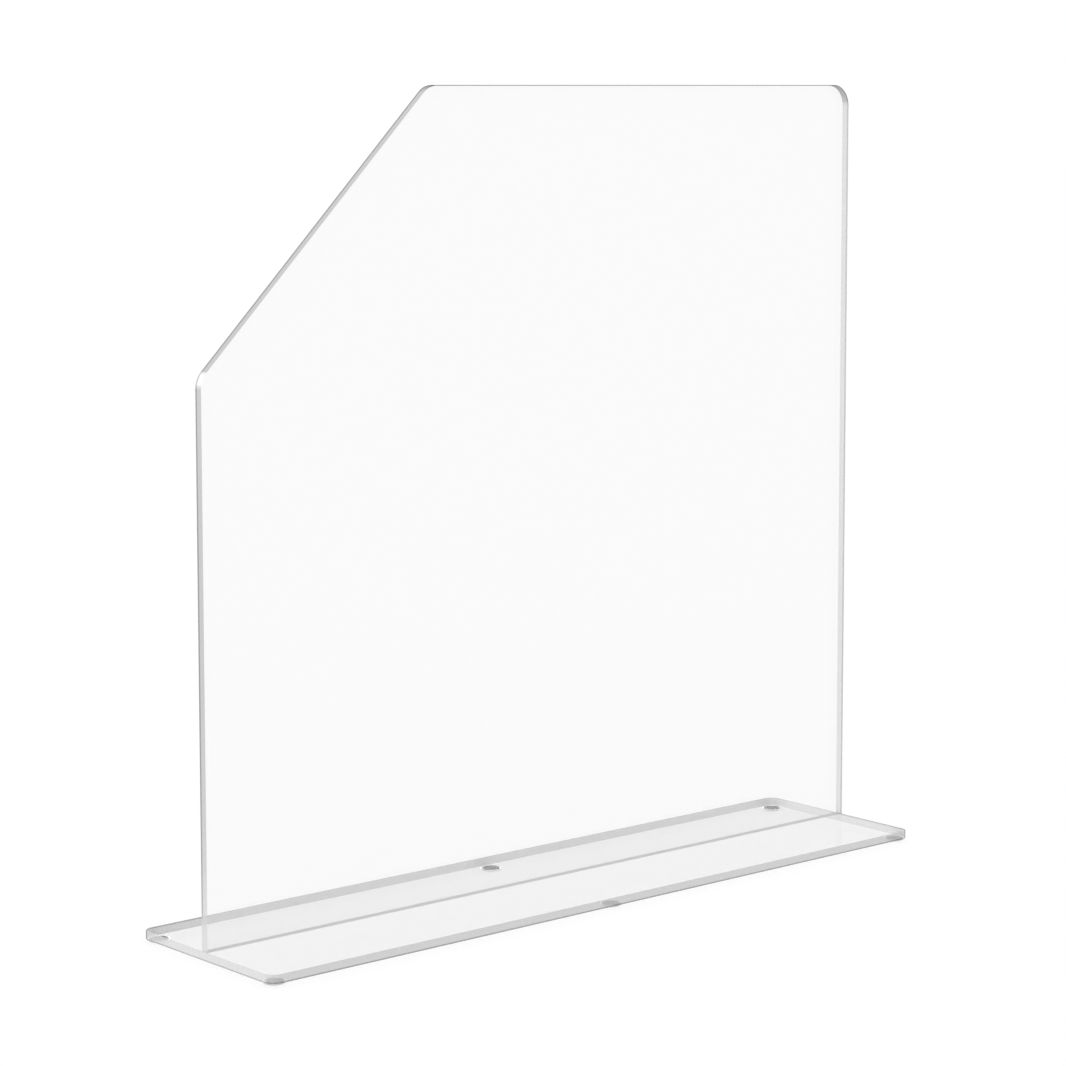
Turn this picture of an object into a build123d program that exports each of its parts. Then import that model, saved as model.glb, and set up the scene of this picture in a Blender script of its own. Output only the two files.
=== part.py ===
from build123d import *
from math import cos, hypot, radians
import os

# Bench splash shield: an upright clear panel, bonded on edge along the middle of a clear base
# plate, which stands on six clear bumper feet.
# X runs along the length, Y from the front to the rear, and Z up.
# The origin is on the bench, under the middle of the base plate.

# Base plate, sawn from flat sheet and rounded at its corners
base_length = 609.6
base_depth = 152.4
base_thickness = 6.35
base_corner_radius = 8.0

# Upright panel, flush with both ends of the base plate, with its upper left corner cut off
# at 45 degrees: the cut takes the same length from the top edge as from the end
panel_height = 577.85
panel_thickness = 6.35
panel_cut = 192.5
panel_corner_radius = 15.9

# Narrow flat that polishing leaves along every free edge of the two sheets
arris = 0.4

# Bumper foot: a short straight rim stuck to the base plate, then a dome with a flat crown
foot_diameter = 15.9
foot_height = 2.5
foot_rim_height = 0.6
foot_crown_diameter = 5.0

# Smallest distance from a foot's rim to the arris round the underside of the base plate
foot_margin = 0.2

# Levels, from the bench up
base_underside = foot_height
base_top = base_underside + base_thickness

# A foot's dome is part of a sphere, which passes through the lower edge of its rim and through
# the edge of its crown. The sphere's centre lies above the rim, on the foot's axis.
foot_radius = foot_diameter / 2
crown_radius = foot_crown_diameter / 2
dome_rise = foot_height - foot_rim_height
centre_above_rim = (foot_radius**2 - crown_radius**2 - dome_rise**2) / (2 * dome_rise)
dome_radius = hypot(foot_radius, centre_above_rim)

# A foot's centre keeps one distance from the sides and from the rounded corners of the base
# plate. Where the corners are rounder than that distance, it moves in along their diagonal.
foot_setback = foot_radius + foot_margin + arris
corner_slack = max(base_corner_radius - foot_setback, 0)
foot_inset = foot_setback + corner_slack * (1 - cos(radians(45)))
foot_x = base_length / 2 - foot_inset
foot_y = base_depth / 2 - foot_inset

os.makedirs("parts", exist_ok=True)

# Base plate
with BuildPart() as base:
    with BuildSketch(Plane.XY.offset(base_underside)):
        RectangleRounded(base_length, base_depth, base_corner_radius)
    extrude(amount=base_thickness)
    base_levels = base.edges().group_by(Axis.Z)
    chamfer(base_levels[0] + base_levels[-1], length=arris)
base.part.label = "base"
export_step(base.part, "parts/base.step")

# Upright panel: its bottom edge stays square, because it is bonded to the base plate
with BuildPart() as panel:
    with BuildSketch(Plane.XZ):
        with Locations((0, base_top)):
            Rectangle(base_length, panel_height, align=(Align.CENTER, Align.MIN))
        upper_left = vertices().group_by(Axis.Y)[-1].sort_by(Axis.X)[0]
        chamfer(upper_left, length=panel_cut)
        bonded_corners = vertices().group_by(Axis.Y)[0]
        fillet(vertices() - bonded_corners, radius=panel_corner_radius)
    extrude(amount=panel_thickness / 2, both=True)
    outline = panel.faces().filter_by(Axis.Y).edges()
    bonded_edges = outline.group_by(Axis.Z)[0]
    chamfer(outline - bonded_edges, length=arris)
panel.part.label = "panel"
export_step(panel.part, "parts/panel.step")

# Bumper feet: one in each corner and one in the middle of each long side
for row, row_y in (("front", -foot_y), ("rear", foot_y)):
    for place, place_x in (("left", -foot_x), ("middle", 0), ("right", foot_x)):
        seat = Plane(origin=(place_x, row_y, base_underside), x_dir=(1, 0, 0), z_dir=(0, -1, 0))
        with BuildPart() as foot:
            with BuildSketch(seat):
                with BuildLine():
                    rim = Polyline((0, 0), (foot_radius, 0), (foot_radius, -foot_rim_height))
                    crown = (crown_radius, -foot_height)
                    RadiusArc(crown, rim @ 1, -dome_radius)
                    Polyline(crown, (0, -foot_height), (0, 0))
                make_face()
            revolve(axis=Axis(seat.origin, (0, 0, 1)))
        foot.part.label = f"foot_{row}_{place}"
        export_step(foot.part, f"parts/foot_{row}_{place}.step")
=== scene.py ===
from math import radians

import bpy
from mathutils import Matrix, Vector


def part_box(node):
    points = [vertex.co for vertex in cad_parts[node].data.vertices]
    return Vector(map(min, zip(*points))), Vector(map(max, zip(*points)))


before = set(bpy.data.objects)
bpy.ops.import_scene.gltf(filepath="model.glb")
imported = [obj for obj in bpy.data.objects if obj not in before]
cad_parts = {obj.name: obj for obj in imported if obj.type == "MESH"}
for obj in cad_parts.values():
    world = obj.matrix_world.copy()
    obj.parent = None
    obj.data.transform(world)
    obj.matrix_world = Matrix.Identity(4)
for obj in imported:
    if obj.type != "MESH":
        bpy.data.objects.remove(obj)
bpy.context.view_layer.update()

# Bench splash shield: an upright clear panel bonded on edge to a clear base plate, which stands
# on six clear bumper feet. Every shape comes from the frame. This script adds the materials,
# the floor, the light and the camera.
# X runs along the length, Y from the front to the rear, Z up from the bench. Lengths in metres.
# A tone is a grey, from 0 for black to 1 for white.

base_low, base_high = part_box("base")
panel_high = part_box("panel")[1]
base_underside = base_low.z
base_top = base_high.z
panel_face = panel_high.y
panel_top = panel_high.z

# Share of the light that a clear surface mirrors: seen head on, and what grazing adds to it
HEAD_ON_GLOSS = 0.04
GRAZING_GLOSS = 0.12
GRAZING_POWER = 5.0

# Roughness of a clear surface, how much its grain varies it, and the relief of the grain
ROUGHNESS = 0.07
ROUGHNESS_SPREAD = 0.1
RELIEF_STRENGTH = 0.05
RELIEF_DEPTH = 0.0002

# Scale of the grain in the sheets, in the feet and in the mottled middle of the feet
SHEET_GRAIN = 1100.0
FOOT_GRAIN = 1500.0
MOTTLE_GRAIN = 700.0
GRAIN_DETAIL = 4.0

# Lean of a surface, which is 1 on the faces of a sheet and 0 on its outline. A face leans more
# than the first number. A polished flat leans like the second, give or take the third.
FACE_LEAN = 0.9
FLAT_LEAN = 0.7
FLAT_LEAN_RANGE = 0.2

# Clear faces: haze, the haze's tone, and the tint that the surface gives what is behind it
PANEL_HAZE = 0.1
BASE_HAZE = 0.05
HAZE_TONE = 0.828
PANEL_TINT = 1.0
BASE_TINT = 0.972
FOOT_TINT = 0.95

# Edges, which hide most of what is behind them, and how much the grain varies their tone
EDGE_OPACITY = 0.75
EDGE_SPECKLE = 0.4

# Dark lines along the edges, which are painted shade: how much darker than the edge, and the
# edge tone above which a line gets no brighter
PAINTED_LINE_DEPTH = 0.33
PAINTED_LINE_CAP = 0.8
PANEL_LINE_WIDTH = 0.002
BASE_LINE_WIDTH = 0.0012

# Height at which the painted dark line on the panel's left end starts, and distance from the
# middle of the base plate at which the painted dark line along its top starts
LEFT_LINE_START = 0.033
END_LINE_START = 0.25

# Bond line between the panel and the base plate, which reaches a little beyond the faces
BOND_TONE = 0.592
BOND_REACH = 0.00002

# Tones of the panel's outline, from facing left (0) over facing up (0.5) to facing right (1), a
# grey with painted light and shade by the way it faces. The cut faces 0.146. The rounded corner
# below it has a painted highlight, those at the top have painted shade.
PANEL_EDGE_TONES_WITH_PAINTED_LIGHT = (
    (0.0, 0.467),
    (0.01, 1.0),
    (0.10, 1.0),
    (0.14, 0.462),
    (0.16, 0.432),
    (0.3, 0.15),
    (0.495, 0.02),
    (0.5, 0.43),
    (0.505, 0.02),
    (0.6, 0.0),
    (0.8, 0.1),
    (0.93, 0.2),
    (0.99, 0.37),
    (1.0, 0.70),
)

# Painted light on the panel's left outline, brighter towards the base plate: its brightness by
# its height, as a share of the panel's top, and how much of that the right outline has
PANEL_EDGE_PAINTED_LIGHT = (
    (0.03, 1.5),
    (0.073, 1.35),
    (0.095, 1.28),
    (0.118, 1.16),
    (0.16, 1.08),
    (0.3, 1.0),
    (0.5, 1.0),
    (0.63, 1.06),
    (1.0, 1.07),
)
RIGHT_PAINTED_LIGHT_SHARE = 0.2

# Polished flats along the panel's top, which face up by more than this and are painted black as
# shade
TOP_FLAT_RISE = 0.62
TOP_FLAT_PAINTED_SHADE = 0.0

# Tones of the base plate's outline, from facing left (0) over front and rear to facing right
# (1): a grey with painted light and shade by the way it faces
BASE_EDGE_TONES_WITH_PAINTED_LIGHT = (
    (0.0, 0.716),
    (0.02, 0.635),
    (0.5, 0.528),
    (0.98, 0.72),
    (1.0, 0.807),
)

# Grazing angles, as shares, from which the base plate's corners get painted shade and the feet a
# painted glint
CORNER_GRAZING = 0.6
GLINT_GRAZING = 0.5

# Bumper feet: stuck face with a dark mottle of painted shade, the rim round it with a painted
# glint, and the dome. The stuck face lies above the given share of the height, and the rim
# outside the given share of the radius.
STUCK_LEVEL = 0.99
RIM_START = 0.86
MOTTLED_SHADE_TONE = 0.6
MOTTLE_EDGE = 0.5
# The glint is a painted highlight, with a tone brighter than white
GLINT_TONE = 2.5
CORE_OPACITY = 0.95
DOME_TONE = 0.7
DOME_SPECKLE = 0.2
DOME_OPACITY = 0.75


# Node helpers

def start_material(name):
    material = bpy.data.materials.new(name)
    material.use_nodes = True
    material.node_tree.nodes.clear()
    return material, material.node_tree


def add(tree, kind, **settings):
    node = tree.nodes.new("ShaderNode" + kind)
    for name, value in settings.items():
        setattr(node, name, value)
    return node


def feed(tree, socket, value):
    """Links an output to the socket, or sets a plain number on it."""
    if isinstance(value, bpy.types.NodeSocket):
        tree.links.new(value, socket)
    else:
        socket.default_value = value


def calc(tree, operation, *values):
    node = add(tree, "Math", operation=operation)
    for socket, value in zip(node.inputs, values):
        feed(tree, socket, value)
    return node.outputs[0]


def product(tree, first, *others):
    for other in others:
        first = calc(tree, "MULTIPLY", first, other)
    return first


def between(tree, share, first, second):
    """The first value where the share is 0, the second where it is 1, and a mix in between."""
    node = add(tree, "Mix")
    feed(tree, node.inputs["Factor"], share)
    feed(tree, node.inputs["A"], first)
    feed(tree, node.inputs["B"], second)
    return node.outputs["Result"]


def step_up(tree, value, edge, softness):
    """0 below the edge, 1 above it, with a slope of the given softness to either side."""
    node = add(tree, "MapRange")
    feed(tree, node.inputs["Value"], value)
    node.inputs["From Min"].default_value = edge - softness
    node.inputs["From Max"].default_value = edge + softness
    return node.outputs["Result"]


def ramp(tree, factor, stops):
    node = add(tree, "ValToRGB")
    elements = node.color_ramp.elements
    while len(elements) < len(stops):
        elements.new(0.5)
    for element, (position, tone) in zip(elements, stops):
        element.position = position
        element.color = (tone, tone, tone, 1.0)
    feed(tree, node.inputs["Fac"], factor)
    return node.outputs["Color"]


def blend(tree, share, first, second):
    node = add(tree, "MixShader")
    for socket, value in zip(node.inputs, (share, first, second)):
        feed(tree, socket, value)
    return node.outputs[0]


# What the clear materials share

def grain_of(tree, place, scale):
    node = add(tree, "TexNoise")
    node.inputs["Scale"].default_value = scale
    node.inputs["Detail"].default_value = GRAIN_DETAIL
    feed(tree, node.inputs["Vector"], place)
    return node.outputs["Fac"]


def speckled(tree, grain, middle, spread):
    """A number round the given middle, which the grain varies by the given spread."""
    return calc(tree, "MULTIPLY_ADD", grain, spread, middle - spread / 2)


def facing_of(tree, normal=None):
    """0 where a surface is seen head on, towards 1 where it is seen at a grazing angle."""
    node = add(tree, "LayerWeight")
    node.inputs["Blend"].default_value = 0.5
    if normal:
        feed(tree, node.inputs["Normal"], normal)
    return node.outputs["Facing"]


class Surface:
    """What a sheet's material knows of a point on it, in the part's own frame.

    The normal is on the side that the surface is seen from. The turn is how far the outline
    faces right, from 0 to 1, and is the same from outside and from inside. The lean is 1 on the
    faces of the sheet, 0 on its outline and about 0.7 on the polished flats between them.
    """

    def __init__(self, tree, thickness_axis):
        place = add(tree, "TexCoord")
        spot = add(tree, "SeparateXYZ")
        normal = add(tree, "SeparateXYZ")
        feed(tree, spot.inputs[0], place.outputs["Object"])
        feed(tree, normal.inputs[0], place.outputs["Normal"])
        self.x, self.y, self.z = spot.outputs
        self.normal_z = normal.outputs["Z"]
        self.from_inside = add(tree, "NewGeometry").outputs["Backfacing"]
        self.grain = grain_of(tree, place.outputs["Object"], SHEET_GRAIN)

        self.lean = calc(tree, "ABSOLUTE", normal.outputs[thickness_axis])
        self.is_face = calc(tree, "GREATER_THAN", self.lean, FACE_LEAN)
        self.turn = self.turn_of(tree, normal.outputs["X"])

        # Distance from the middle plane of the panel
        self.off_plane = calc(tree, "ABSOLUTE", self.y)

        # The rear of the left half and the front of the right half, which carry painted dark
        # lines
        self.is_open_side = calc(tree, "LESS_THAN", product(tree, self.x, self.y), 0.0)

    def turn_of(self, tree, normal_x):
        outward = calc(tree, "MULTIPLY_ADD", self.from_inside, -2.0, 1.0)
        outward_x = product(tree, normal_x, outward)

        # Length of the normal's part along the sheet, kept just over 0 on the faces
        just_over_one = 1.0001
        square = calc(tree, "SUBTRACT", just_over_one, product(tree, self.lean, self.lean))
        right = calc(tree, "DIVIDE", outward_x, calc(tree, "SQRT", square))
        return calc(tree, "MULTIPLY_ADD", right, 0.5, 0.5)


def with_painted_line(tree, tone, is_painted_line):
    """The tone, and the tone of the dark line of painted shade where there is one."""
    capped = calc(tree, "MINIMUM", tone, PAINTED_LINE_CAP)
    darker = calc(tree, "MAXIMUM", calc(tree, "SUBTRACT", capped, PAINTED_LINE_DEPTH), 0.0)
    return between(tree, is_painted_line, tone, darker)


def finish_clear(tree, tint, opacity, tone, grain):
    """A body that is part clear and part opaque, under a gloss with a fine grain in it."""
    bump = add(tree, "Bump")
    bump.inputs["Strength"].default_value = RELIEF_STRENGTH
    bump.inputs["Distance"].default_value = RELIEF_DEPTH
    feed(tree, bump.inputs["Height"], grain)
    normal = bump.outputs["Normal"]

    through = add(tree, "BsdfTransparent")
    through.inputs["Color"].default_value = (tint, tint, tint, 1.0)
    body = add(tree, "BsdfDiffuse")
    feed(tree, body.inputs["Color"], tone)
    feed(tree, body.inputs["Normal"], normal)
    gloss = add(tree, "BsdfGlossy")
    feed(tree, gloss.inputs["Roughness"], speckled(tree, grain, ROUGHNESS, ROUGHNESS_SPREAD))
    feed(tree, gloss.inputs["Normal"], normal)

    grazing = calc(tree, "POWER", facing_of(tree, normal), GRAZING_POWER)
    mirrored = calc(tree, "MULTIPLY_ADD", grazing, GRAZING_GLOSS, HEAD_ON_GLOSS)
    under_gloss = blend(tree, opacity, through.outputs[0], body.outputs[0])
    output = add(tree, "OutputMaterial")
    feed(tree, output.inputs["Surface"], blend(tree, mirrored, under_gloss, gloss.outputs[0]))


# Panel

def panel_outline(tree, at):
    """Tone of the panel's outline, with painted light and shade by the way it faces and by its
    height, and its painted dark line.
    """
    is_right = calc(tree, "GREATER_THAN", at.x, 0.0)
    painted_lift_share = between(tree, is_right, 1.0, RIGHT_PAINTED_LIGHT_SHARE)
    # Painted light, brighter towards the base plate
    painted_lift = ramp(tree, calc(tree, "DIVIDE", at.z, panel_top), PANEL_EDGE_PAINTED_LIGHT)
    painted_lift = between(tree, painted_lift_share, 1.0, painted_lift)
    speckle = speckled(tree, at.grain, 1.0, EDGE_SPECKLE)
    # Painted light and shade by the way the outline faces and by its height
    tone = product(tree, ramp(tree, at.turn, PANEL_EDGE_TONES_WITH_PAINTED_LIGHT), painted_lift, speckle)

    # The painted dark line runs along one border, and starts a little above the base plate on
    # the left end
    is_border = step_up(tree, at.off_plane, panel_face - PANEL_LINE_WIDTH, softness=0.0003)
    is_high = step_up(tree, at.z, LEFT_LINE_START, softness=0.003)
    is_started = calc(tree, "MAXIMUM", is_right, is_high)
    # Painted shade along the border
    return with_painted_line(tree, tone, product(tree, is_border, is_started, at.is_open_side))


def clear_panel():
    material, tree = start_material("clear_panel")
    at = Surface(tree, "Y")
    edge_tone = panel_outline(tree, at)

    # Polished flats along the top, painted black as shade, which hide all that is behind them
    is_flat = calc(tree, "COMPARE", at.lean, FLAT_LEAN, FLAT_LEAN_RANGE)
    is_top = step_up(tree, at.normal_z, TOP_FLAT_RISE, softness=0.06)
    is_top_flat = product(tree, is_flat, is_top)
    edge_tone = between(tree, is_top_flat, edge_tone, TOP_FLAT_PAINTED_SHADE)
    edge_opacity = calc(tree, "MAXIMUM", is_top_flat, EDGE_OPACITY)

    # Square bottom edge, bonded to the base plate and seen from inside the panel only
    is_bond = calc(tree, "LESS_THAN", at.z, base_top + BOND_REACH)
    edge_tone = between(tree, is_bond, edge_tone, BOND_TONE)
    edge_opacity = between(tree, is_bond, edge_opacity, at.from_inside)

    tone = between(tree, at.is_face, edge_tone, HAZE_TONE)
    opacity = between(tree, at.is_face, edge_opacity, PANEL_HAZE)
    finish_clear(tree, PANEL_TINT, opacity, tone, at.grain)
    return material


# Base plate

def base_outline(tree, at):
    """Tone of the base plate's outline, with painted light and shade by the way it faces, and
    its painted dark lines.
    """
    speckle = speckled(tree, at.grain, 1.0, EDGE_SPECKLE)
    # Painted light and shade by the way the outline faces
    tone = product(tree, ramp(tree, at.turn, BASE_EDGE_TONES_WITH_PAINTED_LIGHT), speckle)

    # A painted dark line runs along the foot of an edge seen from outside. On an edge seen from
    # inside it runs along the top, near the ends and on the open side.
    is_low_painted_line = calc(tree, "LESS_THAN", at.z, base_underside + BASE_LINE_WIDTH)
    is_top_border = calc(tree, "GREATER_THAN", at.z, base_top - BASE_LINE_WIDTH)
    is_near_end = step_up(tree, calc(tree, "ABSOLUTE", at.x), END_LINE_START, softness=0.005)
    is_top_painted_line = product(tree, is_top_border, at.is_open_side, is_near_end)
    # Painted shade lines
    is_painted_line = between(tree, at.from_inside, is_low_painted_line, is_top_painted_line)

    # A rounded corner gets the dark line's painted shade too where it is seen at a grazing angle
    is_grazing = step_up(tree, facing_of(tree), CORNER_GRAZING, softness=0.04)
    return with_painted_line(tree, tone, calc(tree, "MAXIMUM", is_painted_line, is_grazing))


def clear_base():
    material, tree = start_material("clear_base")
    at = Surface(tree, "Z")
    tone = between(tree, at.is_face, base_outline(tree, at), HAZE_TONE)
    opacity = between(tree, at.is_face, EDGE_OPACITY, BASE_HAZE)

    # Strip of the top that the panel is bonded to, seen from outside the base plate only
    is_under_panel = calc(tree, "LESS_THAN", at.off_plane, panel_face)
    is_top = calc(tree, "GREATER_THAN", at.z, base_top - BOND_REACH)
    is_bond = product(tree, is_under_panel, is_top)
    from_outside = calc(tree, "SUBTRACT", 1.0, at.from_inside)
    tone = between(tree, is_bond, tone, BOND_TONE)
    opacity = between(tree, is_bond, opacity, from_outside)
    finish_clear(tree, BASE_TINT, opacity, tone, at.grain)
    return material


# Bumper feet

def radius_in_foot(tree, spot):
    """0 on the foot's axis, 1 at its rim. The spot runs from 0 to 1 across the foot's box."""
    across = calc(tree, "MULTIPLY_ADD", spot.outputs["X"], 2.0, -1.0)
    along = calc(tree, "MULTIPLY_ADD", spot.outputs["Y"], 2.0, -1.0)
    squares = calc(tree, "MULTIPLY_ADD", along, along, product(tree, across, across))
    return calc(tree, "SQRT", squares)


def clear_bumper():
    material, tree = start_material("clear_bumper")
    place = add(tree, "TexCoord")
    spot = add(tree, "SeparateXYZ")
    feed(tree, spot.inputs[0], place.outputs["Generated"])
    grain = grain_of(tree, place.outputs["Object"], FOOT_GRAIN)

    # Core with a dark mottle of painted shade, whose rim has a painted glint at a grazing angle
    mottle_grain = grain_of(tree, place.outputs["Object"], MOTTLE_GRAIN)
    # Painted shade, mottled at random
    mottle = step_up(tree, mottle_grain, MOTTLE_EDGE, softness=0.05)
    is_rim = step_up(tree, radius_in_foot(tree, spot), RIM_START, softness=0.02)
    is_grazing = step_up(tree, facing_of(tree), GLINT_GRAZING, softness=0.1)
    # Painted highlight on the rim
    is_glint = product(tree, is_grazing, is_rim)
    painted_core_tone = between(tree, is_glint, product(tree, mottle, MOTTLED_SHADE_TONE), GLINT_TONE)

    # The core is the stuck face and whatever shows of the inside. The rest is the dome.
    is_stuck = calc(tree, "GREATER_THAN", spot.outputs["Z"], STUCK_LEVEL)
    from_inside = add(tree, "NewGeometry").outputs["Backfacing"]
    is_core = calc(tree, "MAXIMUM", is_stuck, from_inside)
    tone = between(tree, is_core, speckled(tree, grain, DOME_TONE, DOME_SPECKLE), painted_core_tone)
    opacity = between(tree, is_core, DOME_OPACITY, CORE_OPACITY)
    finish_clear(tree, FOOT_TINT, opacity, tone, grain)
    return material


def give(name, material):
    materials = bpy.data.objects[name].data.materials
    materials.clear()
    materials.append(material)


give("panel", clear_panel())
give("base", clear_base())
bumper = clear_bumper()
for row in ("front", "rear"):
    for column in ("left", "middle", "right"):
        give(f"foot_{row}_{column}", bumper)


# Floor and light: a lit white floor under an even white sky, so that a clear object casts next
# to no shadow. The floor's glow and the sky's light that it throws back add up to the sky.

SKY = 1.01
FLOOR_TONE = 0.2
FLOOR_SIZE = 60.0


def lit_floor():
    material, tree = start_material("lit_floor")
    material.cycles.emission_sampling = "NONE"
    surface = add(tree, "BsdfDiffuse")
    surface.inputs["Color"].default_value = (FLOOR_TONE, FLOOR_TONE, FLOOR_TONE, 1.0)
    glow = add(tree, "Emission")
    glow.inputs["Strength"].default_value = SKY * (1.0 - FLOOR_TONE)
    both = add(tree, "AddShader")
    feed(tree, both.inputs[0], surface.outputs[0])
    feed(tree, both.inputs[1], glow.outputs[0])
    output = add(tree, "OutputMaterial")
    feed(tree, output.inputs["Surface"], both.outputs[0])
    return material


bpy.ops.mesh.primitive_plane_add(size=FLOOR_SIZE)
floor = bpy.context.object
floor.name = "floor"
floor.data.materials.append(lit_floor())

scene = bpy.context.scene
world = bpy.data.worlds.new("studio")
world.use_nodes = True
world.cycles.sampling_method = "NONE"
background = world.node_tree.nodes["Background"]
background.inputs["Color"].default_value = (1.0, 1.0, 1.0, 1.0)
background.inputs["Strength"].default_value = SKY
scene.world = world
scene.view_settings.view_transform = "Standard"
scene.cycles.transparent_max_bounces = 32


# Camera, as it stood for the photograph: place in metres, angles in degrees, lens in millimetres

CAMERA_PLACE = (-1.4690, -1.7095, 0.58985)
CAMERA_YAW = -41.602
CAMERA_PITCH = -5.995
CAMERA_ROLL = 0.079
SENSOR_WIDTH = 36.0
FOCAL_LENGTH = 105.91
SHIFT_X = -0.0629
SHIFT_Y = -0.1154

lens = bpy.data.cameras.new("camera")
lens.sensor_width = SENSOR_WIDTH
lens.lens = FOCAL_LENGTH
lens.shift_x = SHIFT_X
lens.shift_y = SHIFT_Y
camera = bpy.data.objects.new("camera", lens)
camera.matrix_world = (
    Matrix.Translation(CAMERA_PLACE)
    @ Matrix.Rotation(radians(CAMERA_YAW), 4, "Z")
    @ Matrix.Rotation(radians(90.0 + CAMERA_PITCH), 4, "X")
    @ Matrix.Rotation(radians(CAMERA_ROLL), 4, "Z")
)
scene.collection.objects.link(camera)
scene.camera = camera
